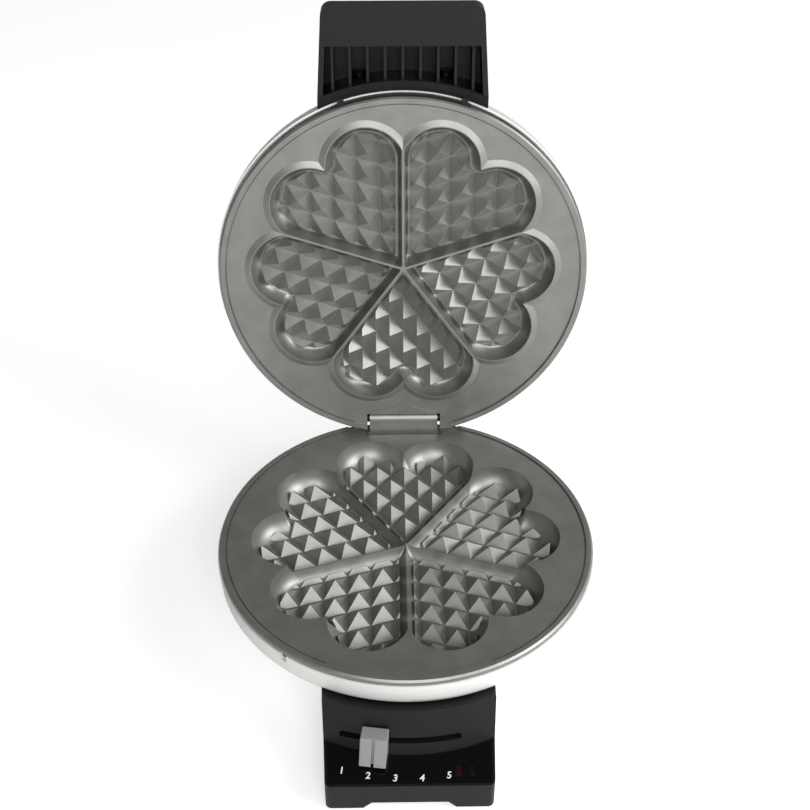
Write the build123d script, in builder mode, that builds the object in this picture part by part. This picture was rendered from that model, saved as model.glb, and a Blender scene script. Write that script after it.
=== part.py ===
import os
from math import atan2, cos, degrees, radians, sin, sqrt, tan

from build123d import *

os.makedirs("parts", exist_ok=True)

# Heart waffle maker, standing open. The origin is on the table, on the axis of the round
# lower plate; -Y is the front, where the two black grips are, and +Y is the hinge.
# Heights in the sections below are measured from the rim plane, where the two plates meet.

# Driving dimensions, millimetres and degrees
rim_z = 54.5                # rim plane above the table
lower_rim_r = 95.0          # lower plate
upper_rim_r = 96.0          # upper plate
heart_shift = -4.6          # its hearts lie this much nearer the front than its rim
lid_shift = -1.3            # and the lid's casing and handle this much
open_angle = 98.3           # lid swing from shut to its stop
hinge_y = 88.7              # hinge axis behind the plate axis
hinge_z = 6.7               # hinge axis above the rim plane
closed_gap = 0.8            # between the two rims with the lid shut
seat_gap = 0.1              # between two fixed pieces that sit on each other

# Waffle pattern: five hearts, the first one pointing at the hinge
hearts = 5
half_heart = 180 / hearts   # from a heart's axis to the rib beside it
cell_side = 12.53           # side of one rhombic pyramid
pyramid_h = 6.0
lobe_dist = 59.1            # plate axis to the centre of a lobe
lobe_turn = 17.4            # that centre from the heart's axis, degrees
lobe_r = 19.9
cleft_r = 0.8
tip_r = 1.0
dish_steps = 4              # outlines that a pocket's curved wall passes through
dish_angle = 81.0           # of the quarter ellipse that the wall follows
field_r = 15.2              # the pyramids end inside the wall
field_notch = 6.0

# Lower plate
lower_flange_drop = 0.6
lower_floor_z = -12.4
lower_lip = (-0.6, lobe_r, lobe_dist, lobe_turn, cleft_r, tip_r)
lower_foot = (4.0, 13.5, 57.1, 18.15, 6.0, tip_r)
lower_field_rib = 3.6
lower_back_z = -18.5
plate_core_r = 84.0
lower_skirt_z = -8.0
ring_w = 3.2
ring_groove = 0.8
valley_flat = 0.9
front_lip_half = 25.0       # degrees, each side of the front
front_lip_w = 4.6

# Upper plate
upper_flange_z = 1.7
upper_floor_z = 9.3
upper_lip = (0.6, lobe_r + 0.2, lobe_dist, lobe_turn, cleft_r, tip_r)
upper_foot = (2.6, 15.9, lobe_dist, lobe_turn, 5.0, tip_r)
upper_field_rib = 4.0
crest_z = 0.3
crest_w = 0.7
crest_slope_w = 3.0
upper_core_t = 2.9          # flange
upper_back_z = 15.0
upper_valley_flat = 0.15

# Hinge
lug_half = 18.8
lug_r = 4.3
lug_foot_half = 19.8
lug_foot_l = 6.6
lug_foot_h = 3.4
ear_gap = 1.4               # notch side to lug side
ear_w = 7.0
ear_r = 4.3
pin_r = 2.5
pin_play = 0.06
turn_gap = 0.4              # notch to lug
notch_y = 83.7
relief_r = 8.4              # trough that the ears turn in
relief_half = 31.0
groove_r = 9.9              # deeper groove before the lug
groove_half = 21.0
gable_y = 76.2
gable_half = 18.0
gable_l = 6.2

# Casings
wall = 2.2
base_casing_r = 95.8
base_casing_foot_r = 95.2
base_edge_z = -3.2
base_corner_z = -14.0
base_bottom_z = -43.5
base_bottom_r = 48.0
lid_casing_r = 97.0
lid_edge_z = 4.0
lid_draft = 0.6             # its wall leans in by this much
lid_lip_w = 0.8             # thin edge of the lid casing
lid_lip_h = 4.3
lid_corner_z = 15.0
lid_top_z = 38.0
lid_top_r = 48.0
cutout_half = 34.0          # opening of the lid casing round the hinge
cutout_z = 17.0
rear_angle = 153.0          # the lid's two rear screws
lid_screw_z = 10.0
corner_r = 5.0
corner_share = 0.6          # of the wall that the inner corner moves up
dome_bulge = 0.66           # height of the dome halfway in, as a share of its rise
step_r = 91.0               # where both plates' rims get thicker
upper_skirt_r = 93.1
notch_angle = 38.0
notch_w = 4.0
notch_h = 4.2

# Control housing, the black block that carries the front of the base
housing_front_y = -124.6
housing_back_y = -62.0
housing_half = 39.0         # at its front
housing_flare = 0.047       # growth of that half width towards the back, per mm
housing_foot_z = -53.3
black_wall = 2.6
control_top_z = -11.0
control_top_r = 102.4
control_foot_z = -34.0
control_foot_r = 109.5
gutter_r = 92.0
gutter_z = -16.0
ledge_slope = 12.0
arch_half = 17.7
arch_h = 3.9

panel_t = 1.2
panel_edge = 1.2            # rim of the housing round the printed panel
lens_w = 2.6
lens_l = 4.8
lens_t = 2.9
lens_y = -117.5
red_x = 22.5
green_x = 28.7
lamp_r = 1.9
lamp_l = 8.0
lamp_top_z = -39.6

# Handle of the lid
handle_tip_y = -140.4
handle_back_y = -79.4
handle_half = 38.5          # at its tip
handle_flare = 0.065
handle_under_z = -6.0
handle_tip_top = 3.5
handle_root_top = 27.0
handle_band_r = 98.7        # inner edge of the band that follows the lid's rim
handle_band_z = 1.0
recess_r = 104.9
recess_front_y = -121.3
recess_z = 12.0
recess_wall = 1.4
recess_slope = 6.2          # from the band's inner edge out to the recess, along the underside
fins = 9
fin_pitch = 8.45
fin_t = 1.3
fin_z = -3.6
hook_angle = 18.3
hook_w = 3.0
tongue_r = 95.1             # lip of the handle inside the casing's edge
tongue_angle = 20.5
tongue_z = 2.6
handle_screw_z = 8.6

# Slider on the temperature scale, settings 1 to 5
slot_z = -26.7
slot_h = 3.0
slot_left = -17.6
slot_right = 13.0
knob_angle = -8.4
knob_w = 12.5
knob_top_z = -19.7
knob_foot_z = -33.0
knob_heel_z = -32.2
knob_play = 0.7
knob_tip_r = 119.0
knob_top_r = 113.2
knob_groove = 1.4
arm_t = 1.2
arm_w = 9.0
arm_neck_w = 5.0
arm_tip_r = 111.5
spindle_r = 3.0
spindle_play = 0.06

# Heating, thermostat and mains parts inside the base and the lid
element_ring_r = 46.0
element_r = 3.2
element_gap = 34.0          # degrees left open between its two ends
terminal_l = 9.0
shield_r = 74.0
shield_t = 0.6
shield_lip = 3.0
thermostat_r = 16.0
thermostat_h = 5.5
strap_half = 26.0
strap_w = 15.0
strap_t = 0.8
boss_r = 5.0
boss_h = 4.0
base_boss_r = 62.0
base_boss_angles = (72.0, 180.0, 288.0)
screw_r = 1.75
head_r = 3.3
head_h = 2.4
bottom_hole_r = 38.0
cover_r = 46.0
cover_t = 1.8
leg_x = 44.0
leg_y = 60.0
leg_top_r = 12.0
leg_foot_r = 9.0
foot_r = 7.2
foot_h = 4.0
well_drop = 4.0             # wells of the casing's screws, from below the dome
well_h = 14.0
window_half = 30.5          # opening of the base casing behind the control housing
gland_z = -25.0
gland_y = 80.0
gland_r = 6.0
gland_bore_r = 3.6
gland_face_y = 85.1
gland_back_y = 76.0
gland_lip = 7.0             # behind the casing's face
housing_screw_x = 36.0
housing_screw_y = -72.0
housing_screw_z = -38.0
pad_x = 30.5                # rubber pads under the control housing
pad_y = -115.5
pad_r = 5.5
pad_seat = 14.0

hinge_axis = Axis((0, hinge_y, rim_z + hinge_z), (1, 0, 0))
standing = (Align.CENTER, Align.CENTER, Align.MIN)      # on the height that places a shape
hanging = (Align.CENTER, Align.CENTER, Align.MAX)       # below it
beyond = 60.0               # half width of a cutting shape that is wider than any grip


def at(height):
    """Height above the table of a height that is given from the rim plane."""
    return rim_z + height


def section(points):
    """Closed outline in the radius and height plane, revolved about the plate axis."""
    with BuildSketch(Plane.XZ) as face:
        with BuildLine():
            Polyline([(r, at(z)) for r, z in points], close=True)
        make_face()
    return face.sketch


def ring(points):
    """Solid of revolution about the plate axis from radius and height points."""
    with BuildPart() as turned:
        add(section(points))
        revolve(axis=Axis.Z)
    return turned.part


def polar(radius, angle, height=0.0):
    """Point at an angle from the front of the object, seen from above, right positive."""
    return (radius * sin(radians(angle)), -radius * cos(radians(angle)), at(height))


def heart_line(rib_half, radius, centre, notch_r, point_r):
    """Outline of one heart with its axis along +X: two straight sides beside the ribs,
    two lobes and a rounded cleft. Every corner but the shoulders is tangent."""
    turn = radians(half_heart)
    along = (cos(turn), sin(turn))
    inward = (sin(turn), -cos(turn))
    cx, cy = centre
    t_c = cx * along[0] + cy * along[1]
    m_c = cx * inward[0] + cy * inward[1]
    t_j = t_c + sqrt(max(0.0, radius**2 - (m_c - rib_half) ** 2))
    shoulder = (t_j * along[0] + rib_half * inward[0], t_j * along[1] + rib_half * inward[1])
    notch_x = cx + sqrt((radius + notch_r) ** 2 - cy**2)
    share = radius / (radius + notch_r)
    cleft = (cx + (notch_x - cx) * share, cy * (1 - share))
    a_j = atan2(shoulder[1] - cy, shoulder[0] - cx)
    a_t = atan2(cleft[1] - cy, cleft[0] - cx)
    a_m = (a_j + a_t) / 2
    outer = (cx + radius * cos(a_m), cy + radius * sin(a_m))
    tip_x = (rib_half + point_r) / sin(turn)
    t_0 = (rib_half + point_r) / tan(turn)
    foot = (t_0 * along[0] + rib_half * inward[0], t_0 * along[1] + rib_half * inward[1])

    def low(point):
        return (point[0], -point[1])

    Line(foot, shoulder)
    ThreePointArc(shoulder, outer, cleft)
    ThreePointArc(cleft, (notch_x - notch_r, 0), low(cleft))
    ThreePointArc(low(cleft), low(outer), low(shoulder))
    Line(low(shoulder), low(foot))
    ThreePointArc(low(foot), (tip_x - point_r, 0), foot)


def lobe_centre(dist, turn):
    return (dist * cos(radians(turn)), dist * sin(radians(turn)))


def flower_line(radius):
    """Outline round all five hearts: ten arcs about the lobe centres, meeting at the clefts
    on the heart axes and at the ribs between the hearts."""
    cx, cy = lobe_centre(lobe_dist, lobe_turn)
    cleft = cx + sqrt(radius**2 - cy**2)
    turn = radians(half_heart)
    t_c = cx * cos(turn) + cy * sin(turn)
    m_c = cx * sin(turn) - cy * cos(turn)
    rib = t_c + sqrt(radius**2 - m_c**2)

    def spot(dist, angle):
        return (dist * cos(radians(angle)), dist * sin(radians(angle)))

    for k in range(hearts):
        axis = 90 + 2 * half_heart * k
        far = lobe_dist + radius
        ThreePointArc(spot(rib, axis - half_heart), spot(far, axis - lobe_turn), spot(cleft, axis))
        ThreePointArc(spot(cleft, axis), spot(far, axis + lobe_turn), spot(rib, axis + half_heart))


def dished_pocket(lip_z, floor_z, lip, foot):
    """Pocket of one heart, whose wall leaves the lip upright and flattens towards the floor."""
    with BuildPart() as pocket:
        for k in range(dish_steps + 1):
            turn = radians(dish_angle * k / dish_steps)
            drop = sin(turn) / sin(radians(dish_angle))
            mix = (1 - cos(turn)) / (1 - cos(radians(dish_angle)))
            rib_half, radius, dist, angle, notch_r, point_r = [a + (b - a) * mix for a, b in zip(lip, foot)]
            with BuildSketch(Plane.XY.offset(at(lip_z + (floor_z - lip_z) * drop))):
                with BuildLine():
                    heart_line(rib_half, radius, lobe_centre(dist, angle), notch_r, point_r)
                make_face()
        loft()
    return pocket.part


def pyramid_field(slab_z, valley_z, apex_z, phase, flat, rib_half):
    """Pyramids of one heart: two sets of V ridges, each parallel to one rib, crossed."""
    turn = radians(half_heart)
    pitch = cell_side * sin(2 * turn)
    plane = Plane(origin=(0, 0, 0), x_dir=(sin(turn), -cos(turn), 0), z_dir=(-cos(turn), -sin(turn), 0))
    reach = lobe_dist + lobe_r
    teeth = int(reach / pitch) + 1
    points = [(pitch * (phase - 0.5), slab_z)]
    for k in range(teeth):
        middle = pitch * (k + phase)
        points += [
            (middle - (pitch - flat) / 2, valley_z),
            (middle, apex_z),
            (middle + (pitch - flat) / 2, valley_z),
        ]
    points.append((pitch * (teeth - 0.5 + phase), slab_z))
    with BuildPart() as ridges:
        with BuildSketch(plane):
            with BuildLine():
                Polyline([(p, at(z)) for p, z in points], close=True)
            make_face()
        extrude(amount=-reach)
    crossing = mirror(ridges.part, about=Plane.XZ)
    with BuildPart() as field:
        with BuildSketch(Plane.XY.offset(at(slab_z))):
            with BuildLine():
                heart_line(rib_half, field_r, lobe_centre(lobe_dist, lobe_turn), field_notch, tip_r)
            make_face()
        extrude(amount=apex_z - slab_z)
        add(ridges.part, mode=Mode.INTERSECT)
        add(crossing, mode=Mode.INTERSECT)
    return field.part


def sector(r_in, r_out, start, stop, low, high):
    """Ring segment between two angles from the front, and two heights from the rim plane."""
    middle = (start + stop) / 2
    with BuildPart() as piece:
        with BuildSketch(Plane.XY.offset(at(low))):
            with BuildLine():
                ThreePointArc(polar(r_out, start)[:2], polar(r_out, middle)[:2], polar(r_out, stop)[:2])
                Line(polar(r_out, stop)[:2], polar(r_in, stop)[:2])
                ThreePointArc(polar(r_in, stop)[:2], polar(r_in, middle)[:2], polar(r_in, start)[:2])
                Line(polar(r_in, start)[:2], polar(r_out, start)[:2])
            make_face()
        extrude(amount=high - low)
    return piece.part


def cross_bar(radius, half, shift=0.0):
    """Round bar along the hinge axis."""
    with BuildPart() as bar:
        with BuildSketch(Plane.YZ.offset(shift - half)):
            with Locations((hinge_y, at(hinge_z))):
                Circle(radius)
        extrude(amount=2 * half)
    return bar.part


def cap_screw(length):
    """Screw with its shank up from the origin and its head below it."""
    with BuildPart() as screw:
        Cylinder(screw_r, length, align=standing)
        Cylinder(head_r, head_h, align=hanging)
        chamfer(screw.faces().sort_by(Axis.Z)[0].edges(), 0.5)
    return screw.part


def dome(edge_r, edge_z, foot_r, turn_z, flat_r, flat_z):
    """Outer shape of a casing half: a short wall, a rounded corner and a shallow dome."""
    mid_r = (foot_r + flat_r) / 2
    mid_z = turn_z + (flat_z - turn_z) * dome_bulge
    with BuildPart() as bowl:
        with BuildSketch(Plane.XZ) as half:
            with BuildLine():
                Line((0, at(edge_z)), (edge_r, at(edge_z)))
                Line((edge_r, at(edge_z)), (foot_r, at(turn_z)))
                ThreePointArc((foot_r, at(turn_z)), (mid_r, at(mid_z)), (flat_r, at(flat_z)))
                Line((flat_r, at(flat_z)), (0, at(flat_z)))
                Line((0, at(flat_z)), (0, at(edge_z)))
            make_face()
            corner = half.vertices().sort_by_distance((foot_r, at(turn_z), 0))[0]
            fillet(corner, corner_r)
        revolve(axis=Axis.Z)
    return bowl.part


def grip_block(front_y, back_y, half, flare, low, high):
    """Block with the tapered plan that the two black grips have."""
    back_half = half + flare * (back_y - front_y)
    with BuildPart() as block:
        with BuildSketch(Plane.XY.offset(at(low))):
            with BuildLine():
                Polyline(
                    (-half, front_y), (half, front_y), (back_half, back_y), (-back_half, back_y), close=True,
                )
            make_face()
        extrude(amount=high - low)
    return block.part


def element(height, rise):
    """Tubular heating element: an open ring about the plate axis, its gap at the back, and two
    straight terminals that rise by the given height, downwards if negative."""
    with BuildPart() as tube:
        with BuildSketch(Plane.XZ):
            with Locations((element_ring_r, at(height))):
                Circle(element_r)
        revolve(axis=Axis.Z, revolution_arc=360 - element_gap)
    turned = tube.part.rotate(Axis.Z, 90 + element_gap / 2)
    side_of = standing if rise > 0 else hanging
    with BuildPart() as whole:
        add(turned)
        for side in (-1, 1):
            with Locations(polar(element_ring_r, 180 + side * element_gap / 2, height)):
                Sphere(element_r)
                Cylinder(element_r - 1, abs(rise), align=side_of)
    return whole.part


# Lower plate: one aluminium casting with the five pockets, the rim, the hinge lug and, below,
# the bosses for its screws and the groove that the heating element is pressed into.
lower_pocket = dished_pocket(-lower_flange_drop, lower_floor_z, lower_lip, lower_foot)
lower_pyramids = pyramid_field(
    lower_floor_z - 1.0, lower_floor_z, lower_floor_z + pyramid_h, 0.0, valley_flat, lower_field_rib,
)
lower_groove_r = lower_rim_r - ring_w
skirt_r = base_casing_r - wall - 0.5
ear_far = lug_half + ear_gap + ear_w
relief = cross_bar(relief_r, relief_half)
lower_tube = element(lower_back_z, -element_r - terminal_l)
hinge_pad_w = 2 * relief_half + 4
with BuildPart() as pad:
    with BuildSketch(Plane.XY.offset(at(lower_skirt_z))):
        Circle(skirt_r)
        with Locations((0, hinge_y)):
            Rectangle(hinge_pad_w, 22, mode=Mode.INTERSECT)
    extrude(amount=5)
hinge_pad = pad.part
with BuildPart() as lug:
    add(cross_bar(lug_r, lug_half))
    with Locations((0, hinge_y, at(-lower_flange_drop))):
        Box(2 * lug_half, 2 * lug_r, hinge_z + lower_flange_drop, align=standing)
    with Locations((0, hinge_y - lug_r, at(-lower_flange_drop))):
        Box(2 * lug_foot_half, lug_foot_l, lug_foot_h, align=(Align.CENTER, Align.MIN, Align.MAX))

with BuildPart() as lower_plate:
    add(ring([
        (0, lower_back_z), (plate_core_r, lower_back_z), (plate_core_r, -5.0), (step_r, -5.0),
        (step_r, lower_skirt_z), (skirt_r, lower_skirt_z), (skirt_r, -3.0), (lower_rim_r, -3.0),
        (lower_rim_r, -0.9), (lower_rim_r - 0.9, 0), (lower_groove_r, 0), (lower_groove_r, -1.5),
        (lower_groove_r - ring_groove, -1.5), (lower_groove_r - ring_groove, -lower_flange_drop),
        (0, -lower_flange_drop),
    ]))
    add(sector(lower_rim_r - front_lip_w, lower_groove_r + 0.5, -front_lip_half, front_lip_half, -2.0, 0))
    with PolarLocations(0, hearts, start_angle=90):
        add(lower_pocket, mode=Mode.SUBTRACT)
    with PolarLocations(0, hearts, start_angle=90):
        add(lower_pyramids)
    add(hinge_pad)
    add(relief, mode=Mode.SUBTRACT)
    add(cross_bar(groove_r, groove_half), mode=Mode.SUBTRACT)
    add(lug.part)
    add(cross_bar(pin_r, lug_half + 1), mode=Mode.SUBTRACT)
    for angle in base_boss_angles:
        with Locations(polar(base_boss_r, angle, lower_back_z)):
            Cylinder(boss_r, boss_h, align=hanging)
    for side in (-1, 1):
        with Locations((side * strap_half, 0, at(lower_back_z))):
            Cylinder(boss_r - 1, thermostat_h, align=hanging)
    for angle in base_boss_angles:
        with Locations(polar(base_boss_r, angle, lower_back_z - boss_h)):
            Cylinder(screw_r, boss_h + 3.5, align=standing, mode=Mode.SUBTRACT)
    for side in (-1, 1):
        with Locations((side * strap_half, 0, at(lower_back_z - thermostat_h))):
            Cylinder(screw_r, thermostat_h + 2, align=standing, mode=Mode.SUBTRACT)
    add(lower_tube, mode=Mode.SUBTRACT)
lower_plate.part.label = "lower_plate"
export_step(lower_plate.part, "parts/lower_plate.step")

lower_tube.label = "lower_element"
export_step(lower_tube, "parts/lower_element.step")

# Heat shield: a pressed sheet dish clamped between the plate's bosses and the casing's posts
shield_z = lower_back_z - boss_h - shield_t
with BuildPart() as lower_shield:
    add(ring([
        (0, shield_z), (shield_r, shield_z), (shield_r, shield_z - shield_lip),
        (shield_r - shield_t, shield_z - shield_lip), (shield_r - shield_t, shield_z - shield_t),
        (0, shield_z - shield_t),
    ]).moved(Location((0, 0, shield_t))))
    with Locations((0, 0, at(shield_z))):
        Box(2 * strap_half + 14, 2 * thermostat_r + 4, 4, mode=Mode.SUBTRACT)
    for angle in base_boss_angles:
        with Locations(polar(base_boss_r, angle, shield_z)):
            Cylinder(screw_r + 0.3, 4, mode=Mode.SUBTRACT)
    for side in (-1, 1):
        with Locations(polar(element_ring_r, 180 + side * element_gap / 2, shield_z)):
            Cylinder(element_r + 1.5, 4, mode=Mode.SUBTRACT)
    with Locations((0, -shield_r, at(shield_z - shield_lip / 2))):
        Box(70, 20, shield_lip - 0.01, mode=Mode.SUBTRACT)
lower_shield.part.label = "lower_shield"
export_step(lower_shield.part, "parts/lower_shield.step")

# Thermostat under the middle of the plate, held by a sheet strap with two screws
thermostat_z = lower_back_z - thermostat_h
with BuildPart() as thermostat:
    with Locations((0, 0, at(thermostat_z))):
        Cylinder(thermostat_r, thermostat_h, align=standing)
    fillet(thermostat.edges().filter_by(GeomType.CIRCLE), 0.8)
    with Locations((0, 0, at(thermostat_z))):
        Cylinder(spindle_r + spindle_play, 3, align=standing, mode=Mode.SUBTRACT)
thermostat.part.label = "thermostat"
export_step(thermostat.part, "parts/thermostat.step")

with BuildPart() as thermostat_strap:
    with BuildSketch(Plane.XY.offset(at(thermostat_z - strap_t))):
        SlotOverall(2 * strap_half + strap_w, strap_w)
        Circle(spindle_r + 2, mode=Mode.SUBTRACT)
        with Locations((-strap_half, 0), (strap_half, 0)):
            Circle(screw_r + 0.2, mode=Mode.SUBTRACT)
    extrude(amount=strap_t)
thermostat_strap.part.label = "thermostat_strap"
export_step(thermostat_strap.part, "parts/thermostat_strap.step")

with BuildPart() as strap_screws:
    for side in (-1, 1):
        with Locations((side * strap_half, 0, at(thermostat_z - strap_t))):
            add(cap_screw(strap_t + thermostat_h + 1))
strap_screws.part.label = "strap_screws"
export_step(strap_screws.part, "parts/strap_screws.step")

# Selector: the spindle, its long arm that comes out through the slot, and the knob on the arm
arm_z = slot_z - arm_t / 2
spindle_top = thermostat_z + 2.8
with BuildPart() as thermostat_spindle:
    with Locations((0, 0, at(spindle_top))):
        Cylinder(spindle_r, spindle_top - arm_z + 2, align=hanging)
    chamfer(thermostat_spindle.edges().filter_by(GeomType.CIRCLE), 0.4)
thermostat_spindle.part.label = "thermostat_spindle"
export_step(thermostat_spindle.part, "parts/thermostat_spindle.step")

knob_turn = Plane.XY.rotated((0, 0, knob_angle))
neck_r = control_foot_r - 12
with BuildPart() as selector_arm:
    with BuildSketch(knob_turn.offset(at(arm_z))):
        Circle(spindle_r + 4)
        with Locations((0, -neck_r / 2)):
            Rectangle(arm_w, neck_r)
        with Locations((0, -arm_tip_r / 2)):
            Rectangle(arm_neck_w, arm_tip_r)
        Circle(spindle_r, mode=Mode.SUBTRACT)
    extrude(amount=arm_t)
selector_arm.part.label = "selector_arm"
export_step(selector_arm.part, "parts/selector_arm.step")


def wall_r(height):
    """Radius of the slotted wall at a height from the rim plane."""
    share = (control_top_z - height) / (control_top_z - control_foot_z)
    return control_top_r + (control_foot_r - control_top_r) * share


knob_side = Plane(
    origin=(0, 0, at(0)),
    x_dir=(sin(radians(knob_angle)), -cos(radians(knob_angle)), 0),
    z_dir=(-cos(radians(knob_angle)), -sin(radians(knob_angle)), 0),
)
with BuildPart() as slider_knob:
    with BuildSketch(knob_side.offset(-knob_w / 2)):
        with BuildLine():
            Polyline(
                (wall_r(knob_top_z) + knob_play, knob_top_z), (knob_top_r, knob_top_z),
                (knob_tip_r, knob_foot_z), (wall_r(knob_heel_z) + knob_play, knob_heel_z), close=True,
            )
        make_face()
    extrude(amount=knob_w)
    fillet(slider_knob.edges(), 0.5)
    with BuildSketch(knob_side.offset(-knob_groove / 2)):
        with BuildLine():
            Polyline(
                (knob_top_r - 1.0, knob_top_z + 1), (knob_top_r + 1, knob_top_z + 1),
                (knob_tip_r + 2, knob_foot_z - 1), (knob_tip_r - 2.0, knob_foot_z - 1), close=True,
            )
        make_face()
    extrude(amount=knob_groove, mode=Mode.SUBTRACT)
    add(selector_arm.part, mode=Mode.SUBTRACT)
slider_knob.part.label = "slider_knob"
export_step(slider_knob.part, "parts/slider_knob.step")


# Base casing: one white moulding, a dome with a short wall, two legs at the back and posts
# that carry the plate.
casing_shape = dome(
    base_casing_r, base_edge_z, base_casing_foot_r, base_corner_z, base_bottom_r, base_bottom_z,
)
casing_core = dome(
    base_casing_r - wall, base_edge_z, base_casing_foot_r - wall, base_corner_z + corner_share * wall,
    base_bottom_r, base_bottom_z + wall,
)
cover_screw_r = (bottom_hole_r + cover_r) / 2 + 0.5
with BuildPart() as window:
    with Locations((0, -70, at(base_corner_z - 1.0))):
        Box(2 * window_half, 60, 22, align=hanging)
front_window = window.part
leg_foot_z = -rim_z + foot_h - 1.0
with BuildPart() as fixing_posts:
    for side in (-1, 1):
        with Locations((side * housing_screw_x, housing_screw_y, at(-20))):
            Cylinder(boss_r - 0.8, 20, align=hanging)
    add(casing_shape, mode=Mode.INTERSECT)
notch_turn = degrees(notch_w / base_casing_r) / 2
with BuildPart() as base_casing:
    add(casing_shape)
    for side in (-1, 1):
        with BuildSketch(Plane.XY.offset(at(leg_foot_z))):
            with Locations((side * leg_x, leg_y)):
                Circle(leg_foot_r)
        with BuildSketch(Plane.XY.offset(at(base_corner_z - 6))):
            with Locations((side * leg_x, leg_y)):
                Circle(leg_top_r)
        loft()
    with Locations((0, 70, at(gland_z))):
        Cylinder(gland_r + 4, 30, rotation=(90, 0, 0), align=(Align.CENTER, Align.CENTER, Align.CENTER))
    add(casing_core, mode=Mode.SUBTRACT)
    for angle in base_boss_angles:
        with Locations(polar(base_boss_r, angle, base_bottom_z + well_drop)):
            Cylinder(boss_r, shield_z - base_bottom_z - well_drop, align=standing)
    for angle in base_boss_angles:
        with Locations(polar(base_boss_r, angle, base_bottom_z - well_drop)):
            Cylinder(screw_r + 0.3, 40, align=standing, mode=Mode.SUBTRACT)
            Cylinder(head_r + 0.4, well_h, align=standing, mode=Mode.SUBTRACT)
    add(fixing_posts.part)
    for side in (-1, 1):
        with Locations((side * housing_screw_x, housing_screw_y, at(-23))):
            Cylinder(screw_r, 20, align=hanging, mode=Mode.SUBTRACT)
    with Locations((0, 0, at(base_bottom_z))):
        Cylinder(bottom_hole_r, 10, mode=Mode.SUBTRACT)
    with Locations((0, 0, at(base_bottom_z))):
        with PolarLocations(cover_screw_r, 3):
            Cylinder(screw_r, 10, mode=Mode.SUBTRACT)
    add(front_window, mode=Mode.SUBTRACT)
    add(relief, mode=Mode.SUBTRACT)
    add(sector(
        base_casing_r - wall - 1, base_casing_r + 1, -notch_angle - notch_turn, -notch_angle + notch_turn,
        base_edge_z - notch_h, base_edge_z + 0.2,
    ), mode=Mode.SUBTRACT)
    for side in (-1, 1):
        with Locations((side * leg_x, leg_y, at(leg_foot_z))):
            Cylinder(foot_r, 1.5, align=standing, mode=Mode.SUBTRACT)
    with Locations((0, gland_y, at(gland_z))):
        Cylinder(gland_r, 40, rotation=(90, 0, 0), mode=Mode.SUBTRACT)
    with Locations((0, gland_face_y + gland_y / 2, at(gland_z))):
        Box(40, gland_y, 24, mode=Mode.SUBTRACT)
base_casing.part.label = "base_casing"
export_step(base_casing.part, "parts/base_casing.step")

# Bottom cover: closes the casing's round opening, with cooling slots and three screws
with BuildPart() as bottom_cover:
    with BuildSketch(Plane.XY.offset(at(base_bottom_z - cover_t))):
        Circle(cover_r)
        with PolarLocations(bottom_hole_r * 0.6, 10):
            SlotOverall(bottom_hole_r * 0.6, 4, mode=Mode.SUBTRACT)
        with PolarLocations(cover_screw_r, 3):
            Circle(screw_r + 0.2, mode=Mode.SUBTRACT)
    extrude(amount=cover_t)
bottom_cover.part.label = "bottom_cover"
export_step(bottom_cover.part, "parts/bottom_cover.step")

with BuildPart() as cover_screws:
    with Locations((0, 0, at(base_bottom_z - cover_t))):
        with PolarLocations(cover_screw_r, 3):
            add(cap_screw(cover_t + wall - 0.1))
cover_screws.part.label = "cover_screws"
export_step(cover_screws.part, "parts/cover_screws.step")

casing_screw_seat = base_bottom_z - well_drop + well_h
with BuildPart() as casing_screws:
    for angle in base_boss_angles:
        with Locations(polar(base_boss_r, angle, casing_screw_seat)):
            add(cap_screw(lower_back_z - casing_screw_seat + 3))
casing_screws.part.label = "casing_screws"
export_step(casing_screws.part, "parts/casing_screws.step")

with BuildPart() as rear_feet:
    with Locations((-leg_x, leg_y, 0), (leg_x, leg_y, 0)):
        Cylinder(foot_r, foot_h + 0.5, align=standing)
    chamfer(rear_feet.edges().group_by(Axis.Z)[0], 0.6)
rear_feet.part.label = "rear_feet"
export_step(rear_feet.part, "parts/rear_feet.step")

# Cord gland at the back: a bush with a flange, pressed into the casing's boss
with BuildPart() as cord_gland:
    with BuildSketch(Plane.YZ) as bush:
        with BuildLine():
            Polyline(
                (gland_back_y, at(gland_z) + gland_bore_r), (gland_back_y, at(gland_z) + gland_r),
                (gland_face_y, at(gland_z) + gland_r), (gland_face_y, at(gland_z) + gland_r + 2.5),
                (gland_face_y + 3, at(gland_z) + gland_r + 1.5),
                (gland_face_y + gland_lip, at(gland_z) + gland_r - 0.5),
                (gland_face_y + gland_lip, at(gland_z) + gland_bore_r), close=True,
            )
        make_face()
    revolve(axis=Axis((0, 0, at(gland_z)), (0, 1, 0)))
cord_gland.part.label = "cord_gland"
export_step(cord_gland.part, "parts/cord_gland.step")

# Terminal block on the casing's floor, three ways
with BuildPart() as terminal_block:
    with Locations((0, 30, at(base_bottom_z + wall))):
        Box(30, 12, 9, align=standing)
    with Locations((0, 30, at(base_bottom_z + wall + 9))):
        with GridLocations(9, 1, 3, 1):
            Cylinder(2.2, 5, align=hanging, mode=Mode.SUBTRACT)
terminal_block.part.label = "terminal_block"
export_step(terminal_block.part, "parts/terminal_block.step")


# Control housing: hollow black moulding with the slotted wall, which is part of a cone about
# the plate axis, the sloping ledge with the printed panel, and an arch between its feet.
def ledge_z(y):
    """Height of the ledge's plane at a distance from the plate axis."""
    return control_foot_z + tan(radians(ledge_slope)) * (y + control_foot_r)


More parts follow.
